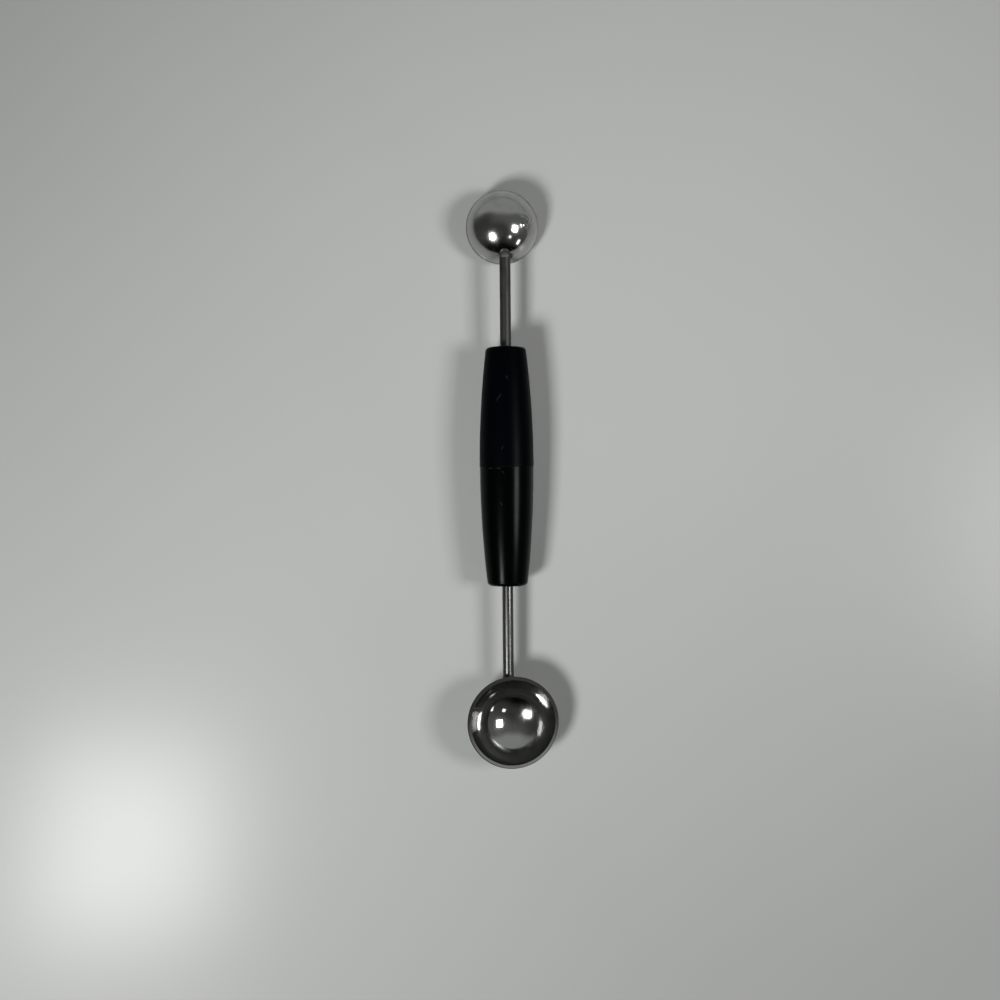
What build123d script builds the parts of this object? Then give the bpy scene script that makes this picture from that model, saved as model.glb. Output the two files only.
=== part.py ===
from build123d import *
from dataclasses import dataclass
from math import acos, asin, atan2, cos, degrees, hypot, radians, sin, sqrt
import os

# Double-ended melon baller, lying on a table as it does when it is put down: the middle of the
# handle and the bottom of the large bowl touch the table, the large bowl opens up and the small
# bowl opens down. +Y runs along the handle towards the small bowl, +Z is up, the table is at
# zero height, and the origin is under the middle of the whole length and width.
# All sizes are in millimetres.

# Handle: two hollow mouldings that meet at a seam
grip_half_length = 36.8        # seam to either end face
seam_radius = 8.38             # the largest radius, on the small bowl's side of the seam
seam_step = 0.1                # the moulding on the large bowl's side is this much thinner
grip_end_radius = 6.17
grip_end_rounding = 1.3
grip_wall = 2.0
grip_end_wall = 5.0
boss_wall = 1.8                # plastic round the tang
rib_count = 4
rib_thickness = 1.3
spigot_length = 3.0            # ring on one moulding that enters the other
spigot_wall = 1.2
spigot_clearance = 0.05
gate_radius = 0.45             # stub left on an end face where the plastic was fed in
gate_height = 0.3
gate_place = 3.7               # from the axis
gate_angle = -70.0             # degrees from the top of the end face

# Stems: round rod, with a tang squeezed into two ears and held in the handle
stem_radius = 1.7
tang_length = 27.0
tang_clearance = 0.03
ear_width = 4.4
ear_thickness = 2.2
ear_length = 7.0
tang_tip_length = 4.0          # from the inner end of the tang to the ears
stem_chamfer = 0.45            # at the end inside the handle
stem_rounding = 0.9            # at the end that meets the bowl
stem_overlap = 0.3             # how far the rod runs past the place where its axis meets the bowl

# Bowls: caps of a sphere pressed from sheet, with the rim ground flat
bowl_wall = 1.1
rim_bevel = 0.3
rim_land = 0.75
small_mouth_radius = 11.3      # the widest radius, at the foot of the rim's bevel
small_bowl_depth = 8.4         # rim to the outside of the bottom
small_bowl_tilt = 8.0          # degrees that the dome leans towards the handle
small_bowl_roll = 4.0          # degrees that the bowl is turned about the stem
small_bowl_rise = -7.6         # centre of the sphere above the stem's axis
small_bowl_offset = -0.5       # centre of the sphere to the side of the stem's axis
small_stem_length = 29.1       # end face of the handle to the bowl, along the axis
large_mouth_radius = 14.25
large_bowl_depth = 11.25
large_bowl_tilt = 0.0          # degrees that the mouth leans towards the handle
large_bowl_roll = 9.0
large_bowl_rise = 7.9
large_bowl_offset = 0.73
large_stem_length = 29.6

# Welds: a nugget of metal round each rod's end, with a bead that ran into the corner beside it
weld_radius = 1.95
weld_setback = 0.8             # its centre back from the rod's end
bead_radius = 1.3
bead_offset = 2.2              # its centre to the right of the stem's axis
bead_shift = 0.5               # and from that axis towards the height of the bowl's centre
small_bead_setback = 2.1
large_bead_setback = 0.9

overrun = 5.0                  # how far a cutting shape runs past what it cuts
half_turn = 180.0
quarter_turn = 90.0


@dataclass
class End:
    """One end of the tool: a bowl on its stem, and the moulding that holds the stem."""

    name: str
    outward: int               # +1 for the end towards +Y, -1 for the other
    dome: int                  # +1 where the bowl's closed side is up, -1 where it is down
    mouth_radius: float
    bowl_depth: float
    bowl_tilt: float
    bowl_roll: float
    bowl_rise: float
    bowl_offset: float
    stem_length: float
    bead_setback: float
    seam_radius: float

    def __post_init__(self):
        """Work out the bowl's sphere, where it stands along the axis, and the barrel's arc."""
        depth = self.bowl_depth - rim_bevel
        self.outer_radius = (self.mouth_radius**2 + depth**2) / (2 * depth)
        self.inner_radius = self.outer_radius - bowl_wall
        self.mouth_height = self.outer_radius - depth
        self.rim_height = self.mouth_height - rim_bevel
        aside = self.bowl_rise**2 + self.bowl_offset**2
        self.meeting = grip_half_length + self.stem_length
        self.centre = self.meeting + sqrt(self.outer_radius**2 - aside)
        sag = self.seam_radius - grip_end_radius
        self.arc_radius = (grip_half_length**2 + sag**2) / (2 * sag)

    def barrel_radius(self, distance, inset):
        """Return the barrel's radius at a distance from the seam, moved in by an inset."""
        arc_centre = self.seam_radius - self.arc_radius
        return arc_centre + sqrt((self.arc_radius - inset) ** 2 - distance**2)

    def reach(self, lie):
        """Return how far the bowl reaches past the seam, measured level with the table."""
        tilt = radians(self.bowl_tilt)
        lift = self.dome * self.mouth_height
        along = self.centre + self.mouth_radius * cos(tilt) - lift * sin(tilt)
        above = self.bowl_rise + self.mouth_radius * sin(tilt) + lift * cos(tilt)
        return along * cos(lie) - self.outward * above * cos(radians(self.bowl_roll)) * sin(lie)


small_end = End(
    "small",
    1,
    1,
    small_mouth_radius,
    small_bowl_depth,
    small_bowl_tilt,
    small_bowl_roll,
    small_bowl_rise,
    small_bowl_offset,
    small_stem_length,
    small_bead_setback,
    seam_radius,
)
large_end = End(
    "large",
    -1,
    -1,
    large_mouth_radius,
    large_bowl_depth,
    large_bowl_tilt,
    large_bowl_roll,
    large_bowl_rise,
    large_bowl_offset,
    large_stem_length,
    large_bead_setback,
    seam_radius - seam_step,
)

# The handle slopes down to the large bowl, so that the step at its seam and the bowl's bottom
# both touch the table
large_roll = radians(large_bowl_roll)
bowl_over_belly = seam_radius + large_bowl_rise * cos(large_roll)
lie = acos(large_end.outer_radius / hypot(large_end.centre, bowl_over_belly))
lie -= atan2(large_end.centre, bowl_over_belly)

# The seam's place over the table, with the length and the large bowl's width centred
large_mouth_rise = large_bowl_rise - large_end.mouth_height * cos(radians(large_bowl_tilt))
seam_x = -large_bowl_offset - large_mouth_rise * sin(large_roll)
seam_y = (large_end.reach(lie) - small_end.reach(lie)) / 2
seam_height = seam_radius * cos(lie)

tang_start = grip_half_length - tang_length
ear_start = tang_start + tang_tip_length
cavity_end = grip_half_length - grip_end_wall
spigot_radius = seam_radius - grip_wall


def side_plane(end):
    """Return the upright plane through the handle's axis, with x outwards and y up."""
    return Plane(
        origin=(seam_x, seam_y, seam_height),
        x_dir=(0, end.outward * cos(lie), end.outward * sin(lie)),
        z_dir=(end.outward, 0, 0),
    )


def cross_plane(end, distance):
    """Return the plane square to the handle's axis at a distance from the seam, with x up."""
    side = side_plane(end)
    origin = side.from_local_coords((distance, 0, 0))
    return Plane(origin=origin, x_dir=side.y_dir, z_dir=side.x_dir)


def handle_axis(end):
    """Return the handle's axis, outwards."""
    return Axis(side_plane(end).origin, side_plane(end).x_dir)


def bowl_plane(end):
    """Return the plane through the bowl's centre that halves it, with y towards its closed side."""
    side = side_plane(end)
    roll = end.outward * end.bowl_roll
    up = side.y_dir.rotate(handle_axis(end), roll)
    normal = side.z_dir.rotate(handle_axis(end), roll)
    origin = side.origin + side.x_dir * end.centre + up * end.bowl_rise
    origin += Vector(end.bowl_offset, 0, 0)
    turn = end.bowl_tilt if end.dome > 0 else end.bowl_tilt + half_turn
    return Plane(origin=origin, x_dir=side.x_dir.rotate(Axis(origin, normal), turn), z_dir=normal)


def rod(end, rod_end, clearance, mode):
    """Put a stem into the part being built, or cut its socket where a clearance is given."""
    with BuildSketch(cross_plane(end, tang_start - clearance)) as tip:
        Circle(stem_radius + clearance)
    extrude(tip.sketch, amount=tang_tip_length + clearance, mode=mode)
    with BuildSketch(cross_plane(end, ear_start - clearance)) as ears:
        SlotOverall(ear_width + 2 * clearance, ear_thickness + 2 * clearance)
    extrude(ears.sketch, amount=ear_length + 2 * clearance, mode=mode)
    with BuildSketch(cross_plane(end, ear_start + ear_length)) as shank:
        Circle(stem_radius + clearance)
    extrude(shank.sketch, amount=rod_end - ear_start - ear_length, mode=mode)


def barrel(end, inset, stop, mode):
    """Revolve the handle's side, moved in by an inset, from the seam to a distance from it."""
    with BuildSketch(side_plane(end)) as profile:
        with BuildLine():
            side = TangentArc(
                (0, end.barrel_radius(0, inset)),
                (stop, end.barrel_radius(stop, inset)),
                tangent=(1, 0),
            )
            Polyline(side @ 1, (stop, 0), (0, 0), side @ 0)
        make_face()
    revolve(profile.sketch, axis=handle_axis(end), mode=mode)


os.makedirs("parts", exist_ok=True)


def save(part, name):
    """Label a finished piece and write it to its own file."""
    part.label = name
    export_step(part, f"parts/{name}.step")


for end in (small_end, large_end):
    # The bowl: an even wall between two arcs, with a flat land and an outer bevel at the rim
    plane = bowl_plane(end)
    outer_start = degrees(asin(end.mouth_height / end.outer_radius))
    inner_start = degrees(asin(end.rim_height / end.inner_radius))
    with BuildPart() as bowl:
        with BuildSketch(plane):
            with BuildLine():
                outside = CenterArc((0, 0), end.outer_radius, outer_start, quarter_turn - outer_start)
                inside = CenterArc((0, 0), end.inner_radius, inner_start, quarter_turn - inner_start)
                Line(inside @ 1, outside @ 1)
                land_end = inside @ 0 + Vector(rim_land, 0)
                Polyline(inside @ 0, land_end, outside @ 0)
            make_face()
        revolve(axis=Axis(plane.origin, plane.y_dir))
    save(bowl.part, f"{end.name}_bowl")

    # The stem: rod with a chamfered tang and a rounded outer end that is fitted to the bowl
    rod_end = end.meeting + stem_overlap
    with BuildPart() as stem:
        rod(end, rod_end, 0, Mode.ADD)
        rims = stem.edges().sort_by(handle_axis(end))
        chamfer(rims[0], stem_chamfer)
        fillet(rims[-1], stem_rounding)
        with Locations(plane.location):
            Sphere(end.outer_radius, mode=Mode.SUBTRACT)
    save(stem.part, f"{end.name}_stem")

    # The weld: a nugget round the rod's end and a bead beside it, in the corner with the bowl
    bead_plane = cross_plane(end, rod_end - end.bead_setback)
    bead_centre = bead_plane.from_local_coords((-end.dome * bead_shift, end.outward * bead_offset))
    with BuildPart() as weld:
        with Locations(cross_plane(end, rod_end - weld_setback).location):
            Sphere(weld_radius)
        with Locations(bead_centre):
            Sphere(bead_radius)
        with Locations(plane.location):
            Sphere(end.outer_radius, mode=Mode.SUBTRACT)
        add(stem.part, mode=Mode.SUBTRACT)
    save(weld.part, f"{end.name}_weld")

    # The moulding: a barrel wall and a thick end round a ribbed boss that grips the tang
    has_spigot = end is large_end
    rib_start = 0 if has_spigot else spigot_length + spigot_clearance
    with BuildPart() as core:
        with BuildSketch(cross_plane(end, rib_start)):
            Circle(stem_radius + boss_wall)
            with PolarLocations(0, rib_count // 2, angular_range=half_turn):
                Rectangle(2 * seam_radius, rib_thickness)
        extrude(amount=cavity_end - rib_start)
        barrel(end, grip_wall / 2, grip_half_length, Mode.INTERSECT)
    with BuildPart() as grip:
        barrel(end, 0, grip_half_length, Mode.ADD)
        fillet(grip.edges().sort_by(handle_axis(end))[-1], grip_end_rounding)
        barrel(end, grip_wall, cavity_end, Mode.SUBTRACT)
        add(core.part)
        if has_spigot:
            with BuildSketch(cross_plane(end, -spigot_length)):
                Circle(spigot_radius)
                Circle(spigot_radius - spigot_wall, mode=Mode.SUBTRACT)
            extrude(amount=2 * spigot_length)
            with BuildSketch(cross_plane(end, grip_half_length)):
                with PolarLocations(gate_place, 1, start_angle=gate_angle):
                    Circle(gate_radius)
            extrude(amount=gate_height)
        else:
            with BuildSketch(cross_plane(end, 0)):
                Circle(spigot_radius + spigot_clearance)
            extrude(amount=spigot_length + spigot_clearance, mode=Mode.SUBTRACT)
        rod(end, grip_half_length + overrun, tang_clearance, Mode.SUBTRACT)
    save(grip.part, f"{end.name}_end_grip")
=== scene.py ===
"""Double-ended melon baller on a pale table, dressed over its packed construction model.

Sizes are in millimetres, as on the construction model, until a mesh is placed in metres.
"""

import logging
import math
from collections.abc import Callable, Sequence
from dataclasses import dataclass
from enum import Enum

import bmesh
import bpy
from mathutils import Matrix, Vector


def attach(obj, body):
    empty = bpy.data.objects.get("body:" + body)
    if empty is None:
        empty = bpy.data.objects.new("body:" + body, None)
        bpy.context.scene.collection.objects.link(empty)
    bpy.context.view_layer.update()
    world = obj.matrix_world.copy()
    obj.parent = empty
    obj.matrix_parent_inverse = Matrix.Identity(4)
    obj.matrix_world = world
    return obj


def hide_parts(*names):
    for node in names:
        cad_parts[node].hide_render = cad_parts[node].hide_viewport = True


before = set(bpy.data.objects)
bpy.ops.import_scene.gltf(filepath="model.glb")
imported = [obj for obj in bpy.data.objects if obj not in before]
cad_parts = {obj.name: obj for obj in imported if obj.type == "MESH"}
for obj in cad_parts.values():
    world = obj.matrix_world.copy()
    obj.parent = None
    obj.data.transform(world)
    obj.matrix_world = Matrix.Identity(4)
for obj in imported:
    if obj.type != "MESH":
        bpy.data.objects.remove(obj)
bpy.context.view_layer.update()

LOG = logging.getLogger("melon_baller")
MM = 0.001
MICRON = 1e-6
SHORTEST_EDGE = 0.0002
BODY = "root"

Span = tuple[float, float]
Triple = tuple[float, float, float]


class Slot(Enum):
    """The record's material slots."""

    BOWL = "bowl_steel"
    STEM = "stem_steel"
    WELD = "weld_steel"
    MATTE = "matte_grip"
    GLOSSY = "glossy_grip"


# Socket arithmetic, shared by the shaders and the geometry trees


def operator(operation: str, reflected: bool = False) -> Callable[..., "Field"]:
    """Return a method of Field that adds one Math node.

    Args:
        operation: The node's operation.
        reflected: Whether the field itself is the last value, and not the first.

    Returns:
        The method, which takes the other values.
    """
    def method(field: "Field", *others: "Field | float") -> "Field":
        """Return the result of the operation."""
        values = (*others, field) if reflected else (field, *others)
        return field.graph.math(operation, *values)

    return method


class Field:
    """A value in a node tree, written with Python's operators."""

    def __init__(self, graph: "Graph", socket: bpy.types.NodeSocket) -> None:
        """Wrap an output socket of a tree."""
        self.graph = graph
        self.socket = socket

    __add__ = operator("ADD")
    __radd__ = operator("ADD", reflected=True)
    __sub__ = operator("SUBTRACT")
    __rsub__ = operator("SUBTRACT", reflected=True)
    __mul__ = operator("MULTIPLY")
    __rmul__ = operator("MULTIPLY", reflected=True)
    __truediv__ = operator("DIVIDE")
    __pow__ = operator("POWER")
    root = operator("SQRT")
    sine = operator("SINE")
    cosine = operator("COSINE")
    at_least = operator("MAXIMUM")
    at_most = operator("MINIMUM")

    def between(self, low: float, high: float) -> "Field":
        """Return 0 below low, 1 above high, and a smooth step between them."""
        inputs = {"Value": self, "From Min": low, "From Max": high}
        return self.graph.node("ShaderNodeMapRange", {"interpolation_type": "SMOOTHSTEP"}, inputs)


class Graph:
    """A node tree that is written as Python expressions."""

    def __init__(self, tree: bpy.types.NodeTree) -> None:
        """Work on a tree, emptied first."""
        self.tree = tree
        tree.nodes.clear()

    def add(self, kind: str, settings: dict, inputs: dict) -> bpy.types.Node:
        """Add a node, with its settings first and its inputs after them.

        Args:
            kind: The node's type.
            settings: Properties of the node, such as a Math node's operation.
            inputs: Values or fields, by the input's name or number.

        Returns:
            The node.
        """
        node = self.tree.nodes.new(kind)
        for name, value in settings.items():
            setattr(node, name, value)
        self.fill(node, inputs)
        return node

    def fill(self, node: bpy.types.Node, inputs: dict) -> None:
        """Set or link a node's inputs.

        Args:
            node: The node.
            inputs: A value, a field or a list of fields, by the input's name or number.
        """
        for name, value in inputs.items():
            for part in value if isinstance(value, list) else [value]:
                if isinstance(part, Field):
                    self.tree.links.new(part.socket, node.inputs[name])
                else:
                    node.inputs[name].default_value = part

    def node(self, kind: str, settings: dict, inputs: dict, output: str | int = 0) -> Field:
        """Add a node as add does, and return one of its outputs."""
        return Field(self, self.add(kind, settings, inputs).outputs[output])

    def math(self, operation: str, *values: Field | float) -> Field:
        """Return the result of a Math node."""
        return self.node("ShaderNodeMath", {"operation": operation}, dict(enumerate(values)))

    def shape(self, kind: str, inputs: dict) -> Field:
        """Return the first output of a geometry node."""
        return self.node("GeometryNode" + kind, {}, inputs)

    def vectors(self, operation: str, inputs: dict, output: str = "Vector") -> Field:
        """Return the result of a Vector Math node."""
        return self.node("ShaderNodeVectorMath", {"operation": operation}, inputs, output)

    def mix(self, share: Field, low: Field | tuple, high: Field | tuple) -> Field:
        """Return a colour between two, each of them a field or three values."""
        ends = [value if isinstance(value, Field) else (*value, 1.0) for value in (low, high)]
        return self.node("ShaderNodeMix", {"data_type": "RGBA"}, {0: share, 6: ends[0], 7: ends[1]}, 2)

    def noise(self, place: Field, scale: float, detail: float) -> Field:
        """Return clouded noise round 0.5."""
        inputs = {"Vector": place, "Scale": scale, "Detail": detail}
        return self.node("ShaderNodeTexNoise", {"noise_dimensions": "3D"}, inputs)

    def vector(self, x: Field | float, y: Field | float, z: Field | float) -> Field:
        """Join three values into a vector."""
        return self.node("ShaderNodeCombineXYZ", {}, {"X": x, "Y": y, "Z": z})

    def split(self, vector: Field) -> list[Field]:
        """Split a vector into its three values."""
        outputs = self.add("ShaderNodeSeparateXYZ", {}, {"Vector": vector}).outputs
        return [Field(self, output) for output in outputs]


# Sizes and places, the same as on the construction model


@dataclass(frozen=True)
class End:
    """One end of the tool, in millimetres and degrees.

    Args:
        name: The size of the bowl, as it stands in the nodes' names.
        outward: +1 for the end towards +Y, -1 for the other.
        dome: +1 where the bowl's closed side is up, -1 where it is down.
        mouth_radius: The bowl's widest radius.
        bowl_depth: From the rim to the outside of the bottom.
        bowl_tilt: The lean of the dome or the mouth towards the handle.
        bowl_roll: The bowl's turn about the stem.
        bowl_rise: The sphere's centre above the stem's axis.
        bowl_offset: The sphere's centre to the side of the stem's axis.
        stem_length: From the handle's end face to the bowl.
        seam_radius: The handle's radius at its seam, on this side.
    """

    name: str
    outward: int
    dome: int
    mouth_radius: float
    bowl_depth: float
    bowl_tilt: float
    bowl_roll: float
    bowl_rise: float
    bowl_offset: float
    stem_length: float
    seam_radius: float

    @property
    def cap_height(self) -> float:
        """The height of the bowl's cap above the foot of its bevel."""
        return self.bowl_depth - Bowl.rim_bevel

    @property
    def outer_radius(self) -> float:
        """The radius of the bowl's outer sphere."""
        return (self.mouth_radius**2 + self.cap_height**2) / (2 * self.cap_height)

    @property
    def mouth_height(self) -> float:
        """The widest circle's height over the sphere's centre."""
        return self.outer_radius - self.cap_height

    @property
    def meeting(self) -> float:
        """The distance from the seam at which the stem's axis meets the bowl."""
        return Handle.half_length + self.stem_length

    @property
    def centre(self) -> float:
        """The distance of the sphere's centre from the seam, along the axis."""
        aside = self.bowl_rise**2 + self.bowl_offset**2
        return self.meeting + math.sqrt(self.outer_radius**2 - aside)

    def reach(self, lie: float) -> float:
        """Return how far the bowl reaches past the seam, measured level with the table.

        Args:
            lie: The handle's slope in radians.

        Returns:
            The distance in millimetres.
        """
        tilt = math.radians(self.bowl_tilt)
        lift = self.dome * self.mouth_height
        along = self.centre + self.mouth_radius * math.cos(tilt) - lift * math.sin(tilt)
        above = self.bowl_rise + self.mouth_radius * math.sin(tilt) + lift * math.cos(tilt)
        drop = self.outward * above * math.cos(math.radians(self.bowl_roll)) * math.sin(lie)
        return along * math.cos(lie) - drop


@dataclass(frozen=True)
class Handle:
    """Sizes of the handle that both of its mouldings share."""

    half_length: float = 36.8
    seam_radius: float = 8.38
    seam_step: float = 0.1
    end_radius: float = 6.17
    end_rounding: float = 1.3


@dataclass(frozen=True)
class Rod:
    """Sizes of the rod that both stems are cut from."""

    radius: float = 1.7
    overlap: float = 0.3
    rounding: float = 0.9


SMALL = End("small", 1, 1, 11.3, 8.4, 8.0, 4.0, -7.6, -0.5, 29.1, Handle.seam_radius)
LARGE = End("large", -1, -1, 14.25, 11.25, 0.0, 9.0, 7.9, 0.73, 29.6, Handle.seam_radius - Handle.seam_step)


class Layout:
    """Where the tool lies: its seam's place over the table, and the slope of its handle."""

    def __init__(self) -> None:
        """Lay the tool on the step at its seam and on the large bowl's bottom."""
        roll = math.radians(LARGE.bowl_roll)
        height = Handle.seam_radius + LARGE.bowl_rise * math.cos(roll)
        lean = math.acos(LARGE.outer_radius / math.hypot(LARGE.centre, height))
        self.lie = lean - math.atan2(LARGE.centre, height)
        rise = LARGE.bowl_rise - LARGE.mouth_height * math.cos(math.radians(LARGE.bowl_tilt))
        x = -LARGE.bowl_offset - rise * math.sin(roll)
        y = (LARGE.reach(self.lie) - SMALL.reach(self.lie)) / 2
        self.seam = Vector((x, y, Handle.seam_radius * math.cos(self.lie)))

    def _axes(self, end: End) -> tuple[Vector, Vector, Vector]:
        """Return the directions at an end.

        Args:
            end: The end.

        Returns:
            Unit vectors outwards, up and to the side.
        """
        out = end.outward * Vector((0, math.cos(self.lie), math.sin(self.lie)))
        side = Vector((end.outward, 0, 0))
        return out, side.cross(out), side

    def turned(self, end: End) -> Matrix:
        """Return the placing of a turned piece, with Z outwards along the axis and X up."""
        out, up, _ = self._axes(end)
        return _placing(self.seam, up, out)

    def bowl(self, end: End) -> Matrix:
        """Return the placing of a bowl, from its sphere's centre with Z to its closed side.

        Args:
            end: The end that the bowl is on.

        Returns:
            A matrix in millimetres.
        """
        out, up, side = self._axes(end)
        roll = Matrix.Rotation(math.radians(end.outward * end.bowl_roll), 3, out)
        centre = self.seam + out * end.centre + (roll @ up) * end.bowl_rise
        centre.x += end.bowl_offset
        turn = math.radians(end.bowl_tilt if end.dome > 0 else end.bowl_tilt + 180)
        tilt = Matrix.Rotation(turn, 3, roll @ side)
        return _placing(centre, tilt @ out, tilt @ roll @ up)


def _placing(origin: Vector, x_axis: Vector, z_axis: Vector) -> Matrix:
    """Return the matrix of an origin, an X axis and a Z axis."""
    columns = Matrix((x_axis, z_axis.cross(x_axis), z_axis)).transposed().to_4x4()
    return Matrix.Translation(origin) @ columns


# Pieces grown by rules, in Geometry Nodes


@dataclass(frozen=True)
class Strip:
    """One stretch of a turned piece's side.

    Args:
        radius: The distance from the axis.
        height: The place along the axis.
        steps: The number of points along the stretch.
    """

    radius: Field | float
    height: Field | float
    steps: int


def grow(name: str, sizes: dict[str, float], rule: Callable[[Graph, dict[str, Field]], Field],
         material: bpy.types.Material) -> bpy.types.Object:
    """Write a geometry tree with named inputs, run it, and keep its result as a plain mesh.

    Args:
        name: The piece's name.
        sizes: The names and values of the tree's inputs.
        rule: Gives the geometry for the tree and its inputs.
        material: The finish.

    Returns:
        The piece, not yet placed.
    """
    tree = bpy.data.node_groups.new(name, "GeometryNodeTree")
    new_socket = tree.interface.new_socket
    sockets = [new_socket(size, in_out="INPUT", socket_type="NodeSocketFloat") for size in sizes]
    new_socket("Geometry", in_out="OUTPUT", socket_type="NodeSocketGeometry")
    graph = Graph(tree)
    entry = graph.add("NodeGroupInput", {}, {})
    geometry = rule(graph, {size: Field(graph, entry.outputs[size]) for size in sizes})
    whole = graph.shape("RealizeInstances", {"Geometry": geometry})
    dressed = graph.shape("SetMaterial", {"Geometry": whole, "Material": material})
    graph.add("NodeGroupOutput", {}, {"Geometry": dressed})
    piece = bpy.data.objects.new(name, bpy.data.meshes.new(name))
    bpy.context.scene.collection.objects.link(piece)
    modifier = piece.modifiers.new(name, "NODES")
    modifier.node_group = tree
    for socket, value in zip(sockets, sizes.values()):
        modifier[socket.identifier] = float(value)
    flatten(piece)
    piece.data.name = name
    return piece


def flatten(piece: bpy.types.Object) -> None:
    """Take a piece's modifiers off and keep what they made of it, as a plain mesh."""
    piece.data = bpy.data.meshes.new_from_object(piece.evaluated_get(bpy.context.evaluated_depsgraph_get()))
    piece.modifiers.clear()


def finish_piece(piece: bpy.types.Object, placing: Matrix, sharp: float) -> bpy.types.Object:
    """Place a mesh, turn its faces outwards and shade it smoothly.

    Args:
        piece: The piece, in millimetres about its own origin.
        placing: Its place, in millimetres.
        sharp: The angle in radians past which an edge stays sharp.

    Returns:
        The piece.
    """
    mesh = piece.data
    work = bmesh.new()
    work.from_mesh(mesh)
    bmesh.ops.dissolve_degenerate(work, dist=SHORTEST_EDGE, edges=work.edges)
    bmesh.ops.recalc_face_normals(work, faces=work.faces)
    work.transform(Matrix.Scale(MM, 4) @ placing)
    work.to_mesh(mesh)
    work.free()
    mesh.shade_smooth()
    mesh.set_sharp_from_angle(angle=sharp)
    return piece


class Grown:
    """A piece whose shape follows a rule, made by Geometry Nodes."""

    sharp = math.pi

    def sizes(self) -> dict[str, float]:
        """Return the piece's named sizes."""
        raise NotImplementedError

    def rule(self, graph: Graph, size: dict[str, Field]) -> Field:
        """Return the piece's geometry, in millimetres."""
        raise NotImplementedError

    def build(self, name: str, placing: Matrix, material: bpy.types.Material) -> bpy.types.Object:
        """Make the piece and put it in its place, dressed in its finish."""
        return finish_piece(grow(name, self.sizes(), self.rule, material), placing, self.sharp)


class Turned(Grown):
    """A piece turned about an axis, whose side is given by strips."""

    segments = 192
    sharp = math.radians(35)
    closing_distance = 0.0005

    def strips(self, size: dict[str, Field], along: Field) -> list[Strip]:
        """Return the stretches of the side, which meet at their ends."""
        raise NotImplementedError

    def rule(self, graph: Graph, size: dict[str, Field]) -> Field:
        """Bend a sheet round the axis for each strip, and join them.

        Args:
            graph: The tree.
            size: Its inputs.

        Returns:
            The turned shape.
        """
        x, y, _ = graph.split(graph.shape("InputPosition", {}))
        angle = (y + 0.5) * math.tau
        parts = []
        for strip in self.strips(size, x + 0.5):
            sheet = graph.shape("MeshGrid", {"Vertices X": strip.steps, "Vertices Y": self.segments + 1})
            place = graph.vector(angle.cosine() * strip.radius, angle.sine() * strip.radius, strip.height)
            parts.append(graph.shape("SetPosition", {"Geometry": sheet, "Position": place}))
        joined = graph.shape("JoinGeometry", {"Geometry": parts})
        return graph.shape("MergeByDistance", {"Geometry": joined, "Distance": self.closing_distance})


@dataclass(frozen=True)
class EndPiece(Turned):
    """A turned piece at one end of the tool.

    Args:
        end: The end.
    """

    end: End


@dataclass(frozen=True)
class Bowl(EndPiece):
    """A bowl: an even wall between two spheres, with a ground land and a bevel at the rim."""

    wall: float = 1.1
    rim_bevel: float = 0.3
    rim_land: float = 0.75
    segments = 256

    def sizes(self) -> dict[str, float]:
        """Return the bowl's named sizes.

        Returns:
            The tree's inputs and their values.
        """
        end = self.end
        inner = end.outer_radius - self.wall
        rim = end.mouth_height - self.rim_bevel
        return {
            "Outer Radius": end.outer_radius,
            "Inner Radius": inner,
            "Outer Angle": math.acos(end.mouth_height / end.outer_radius),
            "Inner Angle": math.acos(rim / inner),
            "Rim Height": rim,
            "Land": self.rim_land,
        }

    def rim(self, placing: Matrix) -> tuple[Vector, Vector]:
        """Return a point on the land's plane and the direction out of the mouth."""
        height = self.end.mouth_height - self.rim_bevel
        return placing @ Vector((0, 0, height)), placing.to_3x3() @ Vector((0, 0, -1))

    def strips(self, size: dict[str, Field], along: Field) -> list[Strip]:
        """Return the outer wall, the inner wall, the land and the bevel.

        Args:
            size: The tree's inputs.
            along: The place along a stretch, from 0 to 1.

        Returns:
            The stretches in that order.
        """
        outer = size["Outer Angle"] * along
        inner = size["Inner Angle"] * along
        inner_edge = size["Inner Angle"].sine() * size["Inner Radius"]
        outer_edge = size["Outer Angle"].sine() * size["Outer Radius"]
        outer_foot = size["Outer Angle"].cosine() * size["Outer Radius"]
        land_edge = inner_edge + size["Land"]
        rim = size["Rim Height"]
        return [
            Strip(outer.sine() * size["Outer Radius"], outer.cosine() * size["Outer Radius"], 64),
            Strip(inner.sine() * size["Inner Radius"], inner.cosine() * size["Inner Radius"], 64),
            Strip(inner_edge + size["Land"] * along, rim, 3),
            Strip(land_edge + (outer_edge - land_edge) * along, rim + (outer_foot - rim) * along, 3),
        ]


@dataclass(frozen=True)
class Stem(EndPiece):
    """A stem: rod from inside the handle to the bowl, with a rounded tip."""

    hidden_length: float = 12.0
    segments = 96

    def sizes(self) -> dict[str, float]:
        """Return the stem's named sizes.

        Returns:
            The tree's inputs and their values.
        """
        return {
            "Radius": Rod.radius,
            "Start": Handle.half_length - self.hidden_length,
            "Stop": self.end.meeting + Rod.overlap,
            "Rounding": Rod.rounding,
        }

    def strips(self, size: dict[str, Field], along: Field) -> list[Strip]:
        """Return the inner end, the side, its rounding and the tip.

        Args:
            size: The tree's inputs.
            along: The place along a stretch, from 0 to 1.

        Returns:
            The stretches in that order.
        """
        rounding = size["Rounding"]
        shoulder = size["Stop"] - rounding
        tip = size["Radius"] - rounding
        turn = along * math.pi / 2
        return [
            Strip(size["Radius"] * along, size["Start"], 3),
            Strip(size["Radius"], size["Start"] + (shoulder - size["Start"]) * along, 40),
            Strip(tip + rounding * turn.cosine(), shoulder + rounding * turn.sine(), 13),
            Strip(tip * along, size["Stop"], 5),
        ]


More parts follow.
